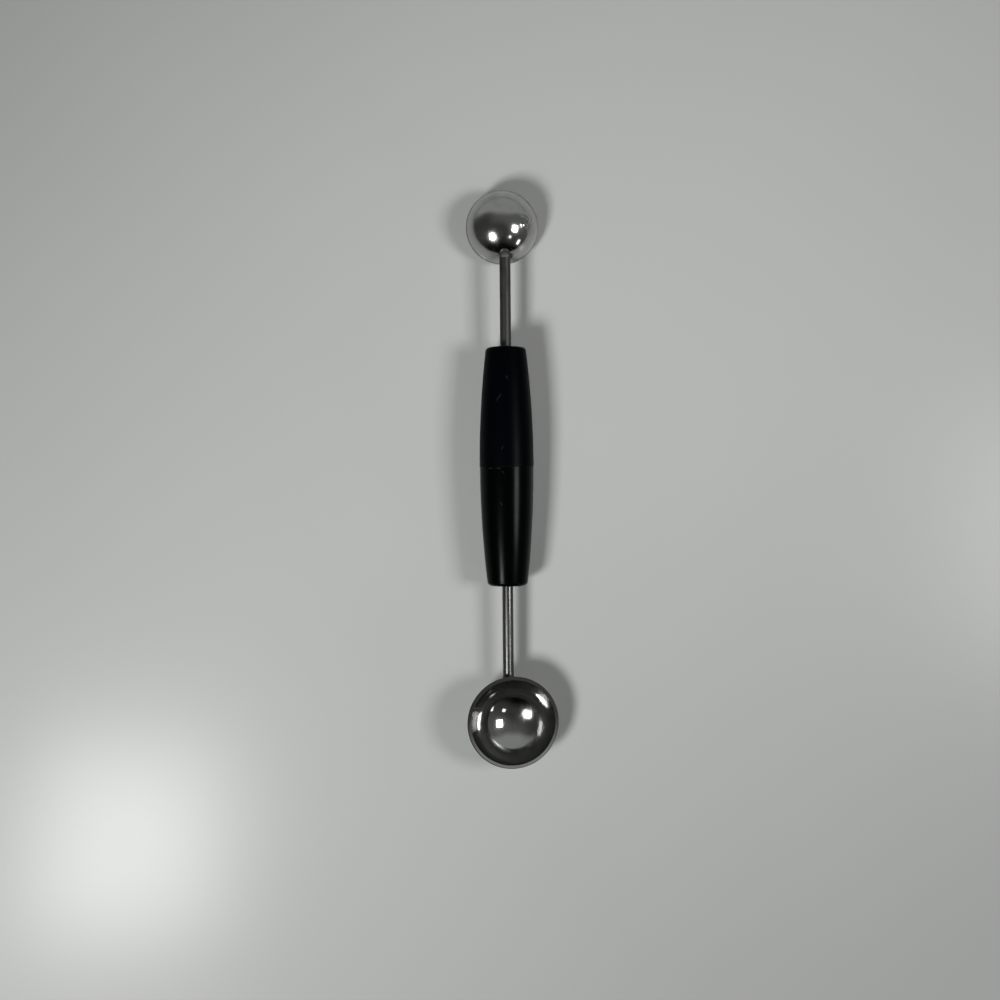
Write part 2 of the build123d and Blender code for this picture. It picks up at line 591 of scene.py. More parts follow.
@dataclass(frozen=True)
class Grip(EndPiece):
    """A moulding of the handle: half a barrel, bored for its stem."""

    bore_clearance: float = 0.03
    segments = 224

    def sizes(self) -> dict[str, float]:
        """Return the moulding's named sizes.

        Returns:
            The tree's inputs and their values.
        """
        sag = self.end.seam_radius - Handle.end_radius
        return {
            "Half Length": Handle.half_length,
            "Seam Radius": self.end.seam_radius,
            "Arc Radius": (Handle.half_length**2 + sag**2) / (2 * sag),
            "Rounding": Handle.end_rounding,
            "Bore Radius": Rod.radius + self.bore_clearance,
        }

    def strips(self, size: dict[str, Field], along: Field) -> list[Strip]:
        """Return the bore, the end face, its rounding, the barrel and the seam face.

        Args:
            size: The tree's inputs.
            along: The place along a stretch, from 0 to 1.

        Returns:
            The stretches in that order.
        """
        arc_centre = size["Seam Radius"] - size["Arc Radius"]
        rounding = size["Rounding"]
        bore = size["Bore Radius"]
        side = size["Half Length"] - rounding
        place = side * along
        face = arc_centre + (size["Arc Radius"] ** 2 - side**2).root() - rounding
        turn = along * math.pi / 2
        return [
            Strip(bore, size["Half Length"] * along, 3),
            Strip(bore + (face - bore) * along, size["Half Length"], 6),
            Strip(face + rounding * turn.sine(), side + rounding * turn.cosine(), 17),
            Strip(arc_centre + (size["Arc Radius"] ** 2 - place**2).root(), place, 65),
            Strip(bore + (size["Seam Radius"] - bore) * along, 0.0, 4),
        ]


@dataclass(frozen=True)
class GateStub(Turned):
    """The stub that is left where the plastic ran into the mould."""

    radius: float = 0.45
    height: float = 0.3
    sunk: float = 0.6
    worn_share: float = 0.35
    place: float = 3.7
    angle: float = -70.0
    segments = 32

    def sizes(self) -> dict[str, float]:
        """Return the stub's named sizes."""
        foot = Handle.half_length - self.sunk
        return {"Radius": self.radius, "Foot": foot, "Top": Handle.half_length + self.height}

    def strips(self, size: dict[str, Field], along: Field) -> list[Strip]:
        """Return the foot, the side, the worn edge and the top.

        Args:
            size: The tree's inputs.
            along: The place along a stretch, from 0 to 1.

        Returns:
            The stretches in that order.
        """
        worn = size["Radius"] * self.worn_share
        top = size["Top"] - worn
        turn = along * math.pi / 2
        return [
            Strip(size["Radius"] * along, size["Foot"], 3),
            Strip(size["Radius"], size["Foot"] + (top - size["Foot"]) * along, 3),
            Strip(size["Radius"] - worn + worn * turn.cosine(), top + worn * turn.sine(), 6),
            Strip((size["Radius"] - worn) * along, size["Top"], 3),
        ]

    def offset(self) -> Matrix:
        """Return the stub's place on the end face."""
        turn = math.radians(self.angle)
        return Matrix.Translation((self.place * math.cos(turn), self.place * math.sin(turn), 0))


@dataclass(frozen=True)
class Weld:
    """Weld metal: a nugget that rounds off the rod's end, and spatter run together beside it.

    Args:
        end: The end that the weld is on.
        seed: The seed of the spatter's places and sizes.
        spatter_setback: The middle of the spatter, back from the rod's end.
    """

    end: End
    seed: int
    spatter_setback: float

    nugget_radius: float = 1.77
    nugget_length: float = 2.15
    nugget_setback: float = 1.1
    spatter_offset: float = 2.2
    spatter_shift: float = 0.5
    spatter_count: int = 16
    spatter_reach: float = 1.0
    spatter_radius: float = 0.36
    spatter_spread: float = 0.4
    sunk: float = 0.3
    fused_grain: float = 0.08
    softening: float = 0.5
    softening_rounds: int = 3

    def sizes(self, centre: Vector) -> dict[str, float]:
        """Return the weld's named sizes.

        Args:
            centre: The middle of the bowl's sphere, seen from the rod.

        Returns:
            The tree's inputs and their values.
        """
        stop = self.end.meeting + Rod.overlap
        return {
            "Nugget Radius": self.nugget_radius,
            "Nugget Length": self.nugget_length,
            "Nugget Place": stop - self.nugget_setback,
            "Spatter X": -self.end.dome * self.spatter_shift,
            "Spatter Y": self.end.outward * self.spatter_offset,
            "Spatter Z": stop - self.spatter_setback,
            "Spatter Reach": self.spatter_reach,
            "Spatter Radius": self.spatter_radius,
            "Bowl Radius": self.end.outer_radius,
            "Bowl X": centre.x,
            "Bowl Y": centre.y,
            "Bowl Z": centre.z,
            "Sunk": self.sunk,
        }

    def build(self, name: str, layout: Layout, material: bpy.types.Material) -> bpy.types.Object:
        """Lay the nugget and the spatter, run them together and place them.

        Args:
            name: The piece's name.
            layout: The place of the tool.
            material: The finish.

        Returns:
            The weld, in place in metres.
        """
        placing = layout.turned(self.end)
        sizes = self.sizes(placing.inverted() @ layout.bowl(self.end).translation)
        piece = grow(name, sizes, self.rule, material)
        self._fuse(piece, material)
        return finish_piece(piece, placing, math.pi)

    def rule(self, graph: Graph, size: dict[str, Field]) -> Field:
        """Return the nugget and the spatter, pressed a little way into the bowl.

        Args:
            graph: The tree.
            size: Its inputs.

        Returns:
            The loose balls of metal.
        """
        centre = graph.vector(size["Bowl X"], size["Bowl Y"], size["Bowl Z"])
        ball = graph.shape("MeshIcoSphere", {"Radius": size["Nugget Radius"], "Subdivisions": 5})
        nugget = graph.shape("Transform", {
            "Geometry": ball,
            "Translation": graph.vector(0.0, 0.0, size["Nugget Place"]),
            "Scale": graph.vector(1.0, 1.0, size["Nugget Length"] / size["Nugget Radius"]),
        })
        joined = graph.shape("JoinGeometry", {"Geometry": [nugget, self._spatter(graph, size, centre)]})
        whole = graph.shape("RealizeInstances", {"Geometry": joined})
        position = graph.shape("InputPosition", {})
        floor = size["Bowl Radius"] - size["Sunk"]
        pressed = self._lifted(graph, position, centre, lambda height: height.at_least(floor))
        return graph.shape("SetPosition", {"Geometry": whole, "Position": pressed})

    def _spatter(self, graph: Graph, size: dict[str, Field], centre: Field) -> Field:
        """Return balls of random sizes, scattered on the bowl beside the rod.

        Args:
            graph: The tree.
            size: Its inputs.
            centre: The middle of the bowl's sphere.

        Returns:
            The balls, as instances.
        """
        index = graph.shape("InputIndex", {})
        points = graph.shape("Points", {"Count": self.spatter_count})
        seeded = {0: (-1.0, -1.0, -1.0), 1: (1.0, 1.0, 1.0), "ID": index, "Seed": self.seed}
        throw = graph.node("FunctionNodeRandomValue", {"data_type": "FLOAT_VECTOR"}, seeded)
        aims = [size[f"Spatter {axis}"] + offset * size["Spatter Reach"]
                for axis, offset in zip("XYZ", graph.split(throw))]
        landed = self._lifted(graph, graph.vector(*aims), centre, lambda height: size["Bowl Radius"])
        laid = graph.shape("SetPosition", {"Geometry": points, "Position": landed})
        limits = {2: 1.0 - self.spatter_spread, 3: 1.0 + self.spatter_spread}
        seeded = {**limits, "ID": index, "Seed": self.seed + 1}
        grain = graph.node("FunctionNodeRandomValue", {"data_type": "FLOAT"}, seeded, output=1)
        ball = graph.shape("MeshIcoSphere", {"Radius": size["Spatter Radius"], "Subdivisions": 3})
        scattered = {"Points": laid, "Instance": ball, "Scale": graph.vector(grain, grain, grain)}
        return graph.shape("InstanceOnPoints", scattered)

    def _lifted(self, graph: Graph, place: Field, centre: Field, rule: Callable[[Field], Field]) -> Field:
        """Return a place moved straight in or out from the bowl's centre.

        Args:
            graph: The tree.
            place: The place.
            centre: The middle of the bowl's sphere.
            rule: Gives the new distance from the centre for the old one.

        Returns:
            The moved place.
        """
        arm = graph.vectors("SUBTRACT", {0: place, 1: centre})
        height = graph.vectors("LENGTH", {0: arm}, "Value")
        stretched = graph.vectors("SCALE", {0: arm, "Scale": rule(height) / height})
        return graph.vectors("ADD", {0: centre, 1: stretched})

    def _fuse(self, piece: bpy.types.Object, material: bpy.types.Material) -> None:
        """Run the metal together into one skin.

        Args:
            piece: The loose balls.
            material: The finish, which the new skin takes again.
        """
        remesh = piece.modifiers.new("run together", "REMESH")
        remesh.mode = "VOXEL"
        remesh.voxel_size = self.fused_grain
        smooth = piece.modifiers.new("soften", "SMOOTH")
        smooth.factor = self.softening
        smooth.iterations = self.softening_rounds
        flatten(piece)
        piece.data.materials.clear()
        piece.data.materials.append(material)


@dataclass(frozen=True)
class SeamFlash(Grown):
    """The thin burr that stands up along the handle's seam, a little higher here and there.

    Args:
        radius: The handle's radius under the burr.
    """

    radius: float

    height: float = 0.1
    wander: float = 0.6
    wander_scale: float = 0.45
    wander_detail: float = 3.0
    around: int = 360
    section_points: int = 10

    def sizes(self) -> dict[str, float]:
        """Return the burr's named sizes."""
        return {"Radius": self.radius, "Height": self.height, "Wander": self.wander}

    def rule(self, graph: Graph, size: dict[str, Field]) -> Field:
        """Return a thin ring whose thickness wanders.

        Args:
            graph: The tree.
            size: Its inputs.

        Returns:
            The ring.
        """
        path, section = (
            graph.shape("CurvePrimitiveCircle", {"Resolution": points, "Radius": radius})
            for points, radius in ((self.around, size["Radius"]), (self.section_points, size["Height"]))
        )
        position = graph.shape("InputPosition", {})
        noise = graph.noise(position, self.wander_scale, self.wander_detail)
        lift = (noise - 0.5) * 2.0 * size["Wander"] + 1.0
        return graph.shape("CurveToMesh", {"Curve": path, "Profile Curve": section, "Scale": lift})


# Finishes


@dataclass(frozen=True)
class Pattern:
    """Clouded noise on a piece's own coordinates.

    Args:
        spacing: The size of a cloud, in metres.
        detail: The number of finer octaves.
        stretch: How much denser the clouds lie along each axis.
        shift: A move of the pattern, which gives another draw of it.
    """

    spacing: float
    detail: float
    stretch: Triple = (1.0, 1.0, 1.0)
    shift: Triple = (0.0, 0.0, 0.0)


class Surface:
    """A material with one Principled shader, fed by expressions."""

    def __init__(self, name: str) -> None:
        """Start a material.

        Args:
            name: Its name.
        """
        self.material = bpy.data.materials.new(name)
        self.material.use_nodes = True
        self.graph = Graph(self.material.node_tree)
        self.shader = self.graph.add("ShaderNodeBsdfPrincipled", {}, {})
        self.graph.add("ShaderNodeOutputMaterial", {}, {"Surface": Field(self.graph, self.shader.outputs[0])})
        self.place = self.graph.node("ShaderNodeTexCoord", {}, {}, output="Object")

    def feed(self, inputs: dict[str, Field | float]) -> bpy.types.Material:
        """Set or link the shader's inputs, and return the material."""
        self.graph.fill(self.shader, inputs)
        return self.material

    def noise(self, pattern: Pattern) -> Field:
        """Return a pattern's noise.

        Args:
            pattern: The pattern.

        Returns:
            A value round 0.5.
        """
        scale = tuple(value / pattern.spacing for value in pattern.stretch)
        inputs = {"Vector": self.place, "Scale": scale, "Location": pattern.shift}
        return self.graph.noise(self.graph.node("ShaderNodeMapping", {}, inputs), 1.0, pattern.detail)

    def spot(self, place: Triple, radius: float, edge: float) -> Field:
        """Return a round patch: 1 within it and 0 outside.

        Args:
            place: Its middle, in millimetres.
            radius: Its radius, in millimetres.
            edge: The width of its soft edge, in millimetres.

        Returns:
            The patch.
        """
        middle = tuple(value * MM for value in place)
        distance = self.graph.vectors("DISTANCE", {0: self.place, 1: middle}, "Value")
        return 1.0 - distance.between((radius - edge) * MM, radius * MM)

    def mark(self, start: tuple, stop: tuple, width: float) -> Field:
        """Return a short straight mark: 1 along its line and 0 outside its width.

        Args:
            start: One end, in millimetres.
            stop: The other end, in millimetres.
            width: Its width, in millimetres.

        Returns:
            The mark.
        """
        run = (Vector(stop) - Vector(start)) * MM
        ahead = self.graph.vectors("SUBTRACT", {0: self.place, 1: tuple(Vector(start) * MM)})
        line = {0: ahead, 1: tuple(run / run.length_squared)}
        share = self.graph.vectors("DOT_PRODUCT", line, "Value").at_most(1.0).at_least(0.0)
        nearest = self.graph.vectors("SCALE", {0: tuple(run), "Scale": share})
        distance = self.graph.vectors("DISTANCE", {0: ahead, 1: nearest}, "Value")
        return 1.0 - distance.between(width * MM / 4, width * MM / 2)

    def height(self, place: Vector, normal: Vector) -> Field:
        """Return the height over a plane in millimetres, from a point on it and its normal."""
        away = self.graph.vectors("SUBTRACT", {0: self.place, 1: tuple(place * MM)})
        return self.graph.vectors("DOT_PRODUCT", {0: away, 1: tuple(normal / MM)}, "Value")

    def relief(self, height: Field) -> Field:
        """Return the normal of a surface whose height is given in microns."""
        inputs = {"Strength": 1.0, "Distance": 1.0, "Height": height * MICRON}
        return self.graph.node("ShaderNodeBump", {}, inputs)


@dataclass(frozen=True)
class CupSteel:
    """Mirror-polished stainless steel that was pressed into a cup.

    Args:
        name: The material's name.
        wrinkle_place: The middle of the patch that the press left wrinkled, in millimetres.
        wrinkle_radius: The radius of that patch, in millimetres.
        wrinkle_height: The height of its wrinkles, in microns.
        roughness: The roughness of the polish.
        rim_painted_shade: Painted shade: how much darker the steel is towards the rim, which dims what it
            mirrors there, from 0 to 1.
    """

    name: str
    wrinkle_place: Triple
    wrinkle_radius: float
    wrinkle_height: float
    roughness: float
    rim_painted_shade: float

    colour: Triple = (0.455, 0.455, 0.445)
    stain: Triple = (0.37, 0.365, 0.35)
    # the ground land: pale where a painted reflection of the lit table lies on it, painted dark as shade
    # elsewhere
    ground: Triple = (0.22, 0.22, 0.215)
    painted_land_shade: Triple = (0.04, 0.04, 0.039)
    # a darker steel colour, for the band just below the rim and for the painted shade towards the large cup's
    # rim
    darkened_steel: Triple = (0.10, 0.10, 0.097)
    rim_band_darkness: float = 0.8
    # painted reflection: the middle, reach and soft edge of the pale stretch of land at the bottom of the
    # large bowl's rim
    painted_land_light_place: Triple = (0.0, -89.0, 11.0)
    painted_land_light_reach: float = 22.0
    painted_land_light_fade: float = 13.2
    ground_roughness: float = 0.42
    ground_edge: Span = (-0.12, -0.02)
    rim_band_edge: Span = (-1.3, -0.7)
    # where the rim is rubbed rougher, and where the painted shade darkens the steel
    rim_wear_and_shade_edge: Span = (-5.5, -2.2)
    worn_roughness: float = 0.11
    roughest: float = 0.27
    wear: float = 0.10
    wear_range: Span = (0.45, 0.75)
    wiping: float = 0.06
    wiping_range: Span = (0.55, 0.8)
    wave_height: float = 9.0
    pit_height: float = 0.5
    wrinkle_fade: float = 0.7
    waves: Pattern = Pattern(0.005, 1.0)
    pits: Pattern = Pattern(0.0007, 3.0)
    clouds: Pattern = Pattern(0.006, 5.0, shift=(3.0, 1.0, 2.0))
    wiped: Pattern = Pattern(0.0006, 3.0, stretch=(1.0, 0.08, 0.3))
    wrinkles: Pattern = Pattern(0.0008, 2.0, stretch=(1.0, 0.7, 1.0))

    def material(self, rim: tuple[Vector, Vector]) -> bpy.types.Material:
        """Return the finish as a material.

        Args:
            rim: A point on the plane of the ground rim, and the direction out of the mouth.

        Returns:
            The material.
        """
        surface = Surface(self.name)
        mix = surface.graph.mix
        level = surface.height(*rim)
        ground = level.between(*self.ground_edge)
        outward = level.between(*self.rim_wear_and_shade_edge)
        worn = surface.noise(self.clouds).between(*self.wear_range)
        scuffs = worn * self.wear + surface.noise(self.wiped).between(*self.wiping_range) * self.wiping
        polish = (self.roughness + scuffs + outward * self.worn_roughness).at_most(self.roughest)
        # painted shade: towards the rim the steel is darkened, which dims what it mirrors there
        clean = mix(outward * self.rim_painted_shade, mix(worn, self.colour, self.stain), self.darkened_steel)
        # the steel is darker in a band just below the rim, inside and out
        steel = mix(level.between(*self.rim_band_edge) * self.rim_band_darkness, clean, self.darkened_steel)
        # painted reflection: the land is pale at the bottom of the large bowl's rim, where it mirrors the lit
        # table, and painted dark elsewhere
        painted_land_light = surface.spot(self.painted_land_light_place, self.painted_land_light_reach, self.painted_land_light_fade)
        patch = surface.spot(self.wrinkle_place, self.wrinkle_radius, self.wrinkle_radius * self.wrinkle_fade)
        relief = surface.noise(self.waves) * self.wave_height + surface.noise(self.pits) * self.pit_height
        return surface.feed({
            "Base Color": mix(ground * painted_land_light, mix(ground, steel, self.painted_land_shade), self.ground),
            "Metallic": 1.0,
            "Roughness": ground * self.ground_roughness + (1.0 - ground) * polish,
            "Normal": surface.relief(relief + surface.noise(self.wrinkles) * patch * self.wrinkle_height),
        })


@dataclass(frozen=True)
class RodSteel:
    """Drawn stainless rod, polished by turning, with rings too fine to see one by one.

    Args:
        name: The material's name.
        pitted_place: The middle of the pitted stretch, in millimetres.
        pitted_length: Half of the pitted stretch, in millimetres.
        pit_height: The depth of its pits, in microns.
        roughness: The roughness of the polish.
        ring_height: The height of the rings, in microns.
        lightness: How much light the rod reflects.
    """

    name: str
    pitted_place: Triple
    pitted_length: float
    pit_height: float
    roughness: float
    ring_height: float
    lightness: float

    tint: Triple = (1.0, 1.0, 0.98)
    stained_share: float = 0.7
    worn_roughness: float = 0.08
    worn_range: Span = (0.45, 0.75)
    pitted_roughness: float = 0.05
    pitted_fade: float = 0.5
    drawn_height: float = 0.25
    rings: Pattern = Pattern(0.0012, 4.0, stretch=(0.2, 14.0, 0.2))
    drawn: Pattern = Pattern(0.0003, 3.0, stretch=(1.0, 0.02, 1.0))
    pits: Pattern = Pattern(0.0005, 3.0)
    clouds: Pattern = Pattern(0.003, 4.0, stretch=(1.0, 0.5, 1.0))

    def material(self) -> bpy.types.Material:
        """Put the finish together.

        Returns:
            The material.
        """
        surface = Surface(self.name)
        pitted = surface.spot(self.pitted_place, self.pitted_length, self.pitted_length * self.pitted_fade)
        worn = surface.noise(self.clouds).between(*self.worn_range)
        clean = tuple(self.lightness * value for value in self.tint)
        stained = tuple(self.stained_share * value for value in clean)
        height = surface.noise(self.rings) * self.ring_height + surface.noise(self.drawn) * self.drawn_height
        return surface.feed({
            "Base Color": surface.graph.mix(worn, clean, stained),
            "Metallic": 1.0,
            "Roughness": self.roughness + worn * self.worn_roughness + pitted * self.pitted_roughness,
            "Normal": surface.relief(height + surface.noise(self.pits) * pitted * self.pit_height),
        })


@dataclass(frozen=True)
class WeldSteel:
    """Weld metal, brushed over, with darker burnt patches.

    Args:
        name: The material's name.
    """

    name: str

    colour: Triple = (0.13, 0.13, 0.127)
    burnt: Triple = (0.06, 0.058, 0.055)
    roughness: float = 0.62
    wear: float = 0.1
    burnt_range: Span = (0.45, 0.65)
    grain_height: float = 10.0
    grain: Pattern = Pattern(0.0005, 3.0)
    clouds: Pattern = Pattern(0.0012, 4.0, shift=(5.0, 2.0, 0.0))

    def material(self) -> bpy.types.Material:
        """Put the finish together.

        Returns:
            The material.
        """
        surface = Surface(self.name)
        dark = surface.noise(self.clouds).between(*self.burnt_range)
        return surface.feed({
            "Base Color": surface.graph.mix(dark, self.colour, self.burnt),
            "Metallic": 1.0,
            "Roughness": self.roughness + dark * self.wear,
            "Normal": surface.relief(surface.noise(self.grain) * self.grain_height),
        })


@dataclass(frozen=True)
class Scratch:
    """A pale nick in the plastic.

    Args:
        start: One end, in millimetres.
        stop: The other end, in millimetres.
        width: Its width, in millimetres.
        strength: How pale it is, from 0 to 1.
    """

    start: Triple
    stop: Triple
    width: float
    strength: float


@dataclass(frozen=True)
class BlackPlastic:
    """Black moulded plastic.

    Args:
        name: The material's name.
        colour: Its colour.
        roughness: The roughness of the moulded skin.
        polish: How much smoother the handled places are.
        gloss: The specular level of the skin.
        skin: The skin's texture.
        skin_height: The height of that texture, in microns.
        scratches: The nicks in it.
    """

    name: str
    colour: Triple
    roughness: float
    polish: float
    gloss: float
    skin: Pattern
    skin_height: float
    scratches: Sequence[Scratch]

    nick_colour: Triple = (0.16, 0.16, 0.155)
    nick_depth: float = 20.0
    nick_roughness: float = 0.2
    dust_colour: Triple = (0.02, 0.02, 0.019)
    dust_share: float = 0.5
    dust_range: Span = (0.70, 0.80)
    handled_range: Span = (0.4, 0.7)
    flow_height: float = 16.0
    flow: Pattern = Pattern(0.006, 2.0, stretch=(1.0, 0.3, 1.0))
    handled: Pattern = Pattern(0.009, 4.0, shift=(1.0, 4.0, 2.0))
    dust: Pattern = Pattern(0.00025, 2.0, shift=(9.0, 0.0, 1.0))

    def material(self) -> bpy.types.Material:
        """Put the finish together.

        Returns:
            The material.
        """
        surface = Surface(self.name)
        mix = surface.graph.mix
        handled = surface.noise(self.handled).between(*self.handled_range)
        dust = surface.noise(self.dust).between(*self.dust_range) * self.dust_share
        marks = (surface.mark(nick.start, nick.stop, nick.width) * nick.strength for nick in self.scratches)
        nicks = sum(marks)
        relief = surface.noise(self.skin) * self.skin_height + surface.noise(self.flow) * self.flow_height
        return surface.feed({
            "Base Color": mix(nicks, mix(dust, self.colour, self.dust_colour), self.nick_colour),
            "Roughness": self.roughness - handled * self.polish + nicks * self.nick_roughness,
            "Specular IOR Level": self.gloss,
            "Normal": surface.relief(relief - nicks * self.nick_depth),
        })


@dataclass(frozen=True)
class TableTop:
    """A pale, slightly glossy table top, with painted shade: its colour is a little darker away from the
    tool, standing in for the lamps' falloff and the lens's vignetting.
    """

    name: str = "table_top"
    colour: Triple = (0.540, 0.553, 0.538)
    # painted shade and painted light: the table's colour far off, and the middle and radius of the painted
    # pool of light round the tool
    painted_shade: Triple = (0.335, 0.343, 0.335)
    painted_light_place: Triple = (38.0, 160.0, 0.0)
    painted_light_radius: float = 370.0
    roughness: float = 0.26
    roughness_spread: float = 0.012
    specular: float = 0.14
    cloudiness: float = 0.04
    cloud_range: Span = (0.3, 0.7)
    clouds: Pattern = Pattern(0.12, 3.0)

    def material(self) -> bpy.types.Material:
        """Put the finish together.

        Returns:
            The material.
        """
        surface = Surface(self.name)
        clouds = surface.noise(self.clouds).between(*self.cloud_range)
        # painted light: 1 in the middle of the painted pool of light and 0 at its radius, less a little
        # random cloudiness
        lit = surface.spot(self.painted_light_place, self.painted_light_radius, self.painted_light_radius) - clouds * self.cloudiness
        return surface.feed({
            "Base Color": surface.graph.mix(lit, self.painted_shade, self.colour),
            "Roughness": self.roughness + clouds * self.roughness_spread,
            "Specular IOR Level": self.specular,
        })


# The tool's assemblies


def install(piece: bpy.types.Object, slot: Slot, nodes: Sequence[str] = ()) -> None:
    """Hand a finished piece over to the frame.

    Args:
        piece: The piece, in place and dressed.
        slot: The material slot for its finish; not used.
        nodes: The construction nodes that it stands for.
    """
    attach(piece, BODY)
    if nodes:
        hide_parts(*nodes)
    faces = len(piece.data.polygons)
    LOG.info("%s: %d faces, in place of %s", piece.name, faces, ", ".join(nodes) or "no node")


@dataclass(frozen=True)
class Scoop:
    """A bowl on its stem, with the weld between them.

    Args:
        weld: The weld, which knows the end that the scoop is on.
        cup: The bowl's finish.
        rod: The stem's finish.
        bead: The weld's finish.
    """

    weld: Weld
    cup: CupSteel
    rod: RodSteel
    bead: WeldSteel

    def build(self, layout: Layout) -> None:
        """Make, place and hand over the scoop's pieces.

        Args:
            layout: The place of the tool.
        """
        end = self.weld.end
        bowl = Bowl(end)
        placing = layout.bowl(end)
        cup = bowl.build(f"{end.name}_cup", placing, self.cup.material(bowl.rim(placing)))
        install(cup, Slot.BOWL, [f"{end.name}_bowl"])
        rod = Stem(end).build(f"{end.name}_rod", layout.turned(end), self.rod.material())
        install(rod, Slot.STEM, [f"{end.name}_stem"])
        bead = self.weld.build(f"{end.name}_bead", layout, self.bead.material())
        install(bead, Slot.WELD, [f"{end.name}_weld"])


@dataclass(frozen=True)
class HandleShell:
    """The two mouldings of the handle, with the burr at their seam and the gate's stub.

    Args:
        matte: The finish of the moulding on the small bowl's side.
        glossy: The finish of the moulding on the large bowl's side.
    """

    matte: BlackPlastic
    glossy: BlackPlastic

    def build(self, layout: Layout) -> None:
        """Make, place and hand over the handle's pieces.

        Args:
            layout: The place of the tool.
        """
        matte = self.matte.material()
        glossy = self.glossy.material()
        upper = Grip(SMALL).build("matte_shell", layout.turned(SMALL), matte)
        install(upper, Slot.MATTE, ["small_end_grip"])
        lower = Grip(LARGE).build("glossy_shell", layout.turned(LARGE), glossy)
        install(lower, Slot.GLOSSY, ["large_end_grip"])
        burr = SeamFlash(LARGE.seam_radius).build("seam_burr", layout.turned(SMALL), matte)
        install(burr, Slot.MATTE)
        stub = GateStub()
        gate = stub.build("gate_stub", layout.turned(LARGE) @ stub.offset(), glossy)
        install(gate, Slot.GLOSSY)


# The room round the tool


@dataclass(frozen=True)
class Softbox:
    """A square lamp behind a diffuser.

    Args:
        name: The lamp's name.
        place: Its middle, in millimetres.
        width: Its width, in millimetres.
        height: Its height, in millimetres.
        roll: Its turn about its own axis, in degrees.
        radiance: The brightness of its face.
    """

    name: str
    place: Triple
    width: float
    height: float
    roll: float
    radiance: float

    def build(self, aim: Vector) -> None:
        """Hang the lamp.

        Args:
            aim: The point that it faces, in metres.
        """
        light = bpy.data.lights.new(self.name, "AREA")
        light.shape = "RECTANGLE"
        light.size = self.width * MM
        light.size_y = self.height * MM
        light.energy = self.radiance * math.pi * light.size * light.size_y
        lamp = bpy.data.objects.new(self.name, light)
        bpy.context.scene.collection.objects.link(lamp)
        lamp.location = Vector(self.place) * MM
        facing = (aim - lamp.location).to_track_quat("-Z", "Y").to_matrix()
        lamp.rotation_euler = (facing @ Matrix.Rotation(math.radians(self.roll), 3, "Z")).to_euler()


@dataclass(frozen=True)
class Room:
    """The table, the lamps, the unlit room and the camera."""

    camera_place: Triple = (-3.53, -6.63, 380.0)
    camera_lean: float = 0.5
    sensor_width: float = 36.0
    image_width: float = 316.9
    nearest: float = 0.01
    table_width: float = 3600.0
    ambient: Triple = (0.025, 0.025, 0.025)
    backdrop: Triple = (0.62, 0.63, 0.61)
    unlit: Triple = (0.002, 0.002, 0.002)
    ceiling: Triple = (0.06, 0.06, 0.058)
    ceiling_edge: Span = (-0.85, -0.6)
    cove: Triple = (0.15, 0.152, 0.148)
    cove_edge: Span = (-0.3, 0.5)
    cove_skew: float = 0.3
    wall: Triple = (0.37, 0.385, 0.375)
    wall_edge: Span = (0.38, 0.70)
    clutter_scale: float = 1.1
    clutter_sway: float = 0.5
    softboxes: tuple[Softbox, ...] = (
        Softbox("key_softbox", (-239.0, -218.0, 378.0), 110.0, 117.0, 45.0, 51.5),
        Softbox("fill_softbox", (410.0, -36.0, 458.0), 180.0, 168.0, 0.0, 19.0),
        Softbox("small_lamp", (526.0, -619.0, 858.0), 140.0, 150.0, 20.0, 3.0),
        Softbox("low_lamp", (810.0, -635.0, 270.0), 240.0, 135.0, 20.0, 4.0),
    )

    def build(self) -> None:
        """Set up the room."""
        self._table()
        for softbox in self.softboxes:
            softbox.build(Vector((0, 0, 0)))
        self._world()
        self._camera()

    def _table(self) -> None:
        """Lay the table's top at the height of nothing."""
        mesh = bpy.data.meshes.new("table")
        half = self.table_width * MM / 2
        corners = [(-half, -half, 0), (half, -half, 0), (half, half, 0), (-half, half, 0)]
        mesh.from_pydata(corners, [], [(0, 1, 2, 3)])
        table = bpy.data.objects.new("table", mesh)
        bpy.context.scene.collection.objects.link(table)
        mesh.materials.append(TableTop().material())

    def _world(self) -> None:
        """Light the room dimly, dark where the steel mirrors it and pale where the camera sees it."""
        world = bpy.data.worlds.new("room")
        world.use_nodes = True
        world.cycles.sampling_method = "NONE"
        graph = Graph(world.node_tree)
        direction = graph.node("ShaderNodeTexCoord", {}, {}, output="Generated")
        x, y, _ = graph.split(direction)
        sway = (graph.noise(direction, self.clutter_scale, 0.0) - 0.5) * self.clutter_sway
        dim = graph.mix((y + sway).between(*self.ceiling_edge), self.unlit, self.ceiling)
        low = (y + x * self.cove_skew + sway * 2.0).between(*self.cove_edge)
        room = graph.mix((y + sway).between(*self.wall_edge), graph.mix(low, dim, self.cove), self.wall)
        path = graph.add("ShaderNodeLightPath", {}, {})
        lit = graph.mix(Field(graph, path.outputs["Is Glossy Ray"]), self.ambient, room)
        seen = graph.mix(Field(graph, path.outputs["Is Camera Ray"]), lit, self.backdrop)
        background = graph.node("ShaderNodeBackground", {}, {"Color": seen, "Strength": 1.0})
        graph.add("ShaderNodeOutputWorld", {}, {"Surface": background})
        bpy.context.scene.world = world

    def _camera(self) -> None:
        """Hang the camera straight over the tool."""
        camera = bpy.data.cameras.new("camera")
        camera.sensor_width = self.sensor_width
        camera.lens = self.sensor_width * self.camera_place[2] / self.image_width
        camera.clip_start = self.nearest
        holder = bpy.data.objects.new("camera", camera)
        bpy.context.scene.collection.objects.link(holder)
        holder.location = Vector(self.camera_place) * MM
        holder.rotation_euler = (0, 0, -math.radians(self.camera_lean))
        bpy.context.scene.camera = holder
        bpy.context.scene.view_settings.view_transform = "Standard"


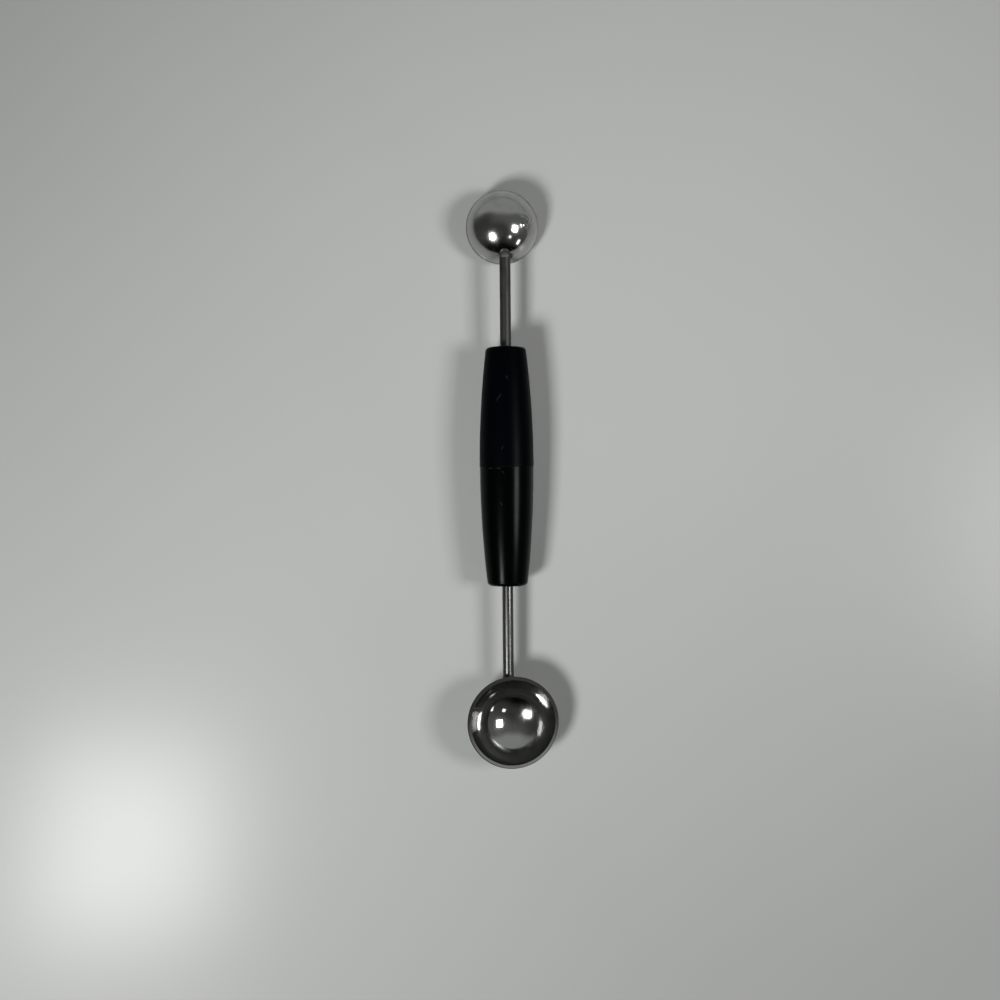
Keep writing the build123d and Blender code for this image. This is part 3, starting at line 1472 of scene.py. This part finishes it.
def main() -> None:
    """Build the tool and the room round it."""
    logging.basicConfig(level=logging.INFO, format="%(name)s: %(message)s")
    layout = Layout()
    scoops = [
        Scoop(
            Weld(SMALL, seed=3, spatter_setback=2.1),
            CupSteel("small_cup_steel", (5.6, 79.0, 10.4), 4.1, 300.0, 0.12, 0.0),
            RodSteel("small_rod_steel", (-1.0, 60.0, 9.5), 4.0, 2.0, 0.5, 0.3, 0.065),
            WeldSteel("small_weld_steel"),
        ),
        Scoop(
            Weld(LARGE, seed=8, spatter_setback=0.9),
            CupSteel("large_cup_steel", (8.0, -80.0, 6.0), 7.0, 30.0, 0.09, 0.8),
            RodSteel("large_rod_steel", (-1.0, -48.0, 8.5), 9.0, 8.0, 0.28, 1.0, 0.095),
            WeldSteel("large_weld_steel"),
        ),
    ]
    for scoop in scoops:
        scoop.build(layout)
    matte_nicks = (
        Scratch((-3.0, 25.4, 16.21), (-4.3, 23.7, 15.89), 0.5, 0.06),
        Scratch((-1.3, 31.0, 16.04), (-0.9, 30.2, 16.08), 0.4, 0.08),
        Scratch((-2.5, 9.6, 16.73), (-2.9, 8.8, 16.67), 0.4, 0.06),
    )
    glossy_nicks = (
        Scratch((-6.9, 3.05, 14.66), (-3.3, 3.0, 16.52), 0.35, 0.1),
        Scratch((-2.6, 3.5, 16.66), (0.4, 3.5, 16.57), 0.3, 0.07),
        Scratch((-2.9, 2.2, 16.59), (-2.3, 1.5, 16.66), 0.4, 0.07),
        Scratch((-3.4, -7.4, 16.1), (-3.0, -8.2, 16.15), 0.4, 0.08),
    )
    matte_skin = Pattern(0.00012, 2.0)
    glossy_skin = Pattern(0.0004, 2.0)
    handle = HandleShell(
        BlackPlastic("matte_black_plastic", (0.0004, 0.0009, 0.0016), 0.36, 0.06, 0.022,
                     matte_skin, 1.2, matte_nicks),
        BlackPlastic("glossy_black_plastic", (0.0002, 0.0006, 0.0006), 0.24, 0.04, 0.045,
                     glossy_skin, 2.0, glossy_nicks),
    )
    handle.build(layout)
    Room().build()


if __name__ == "__main__":
    main()
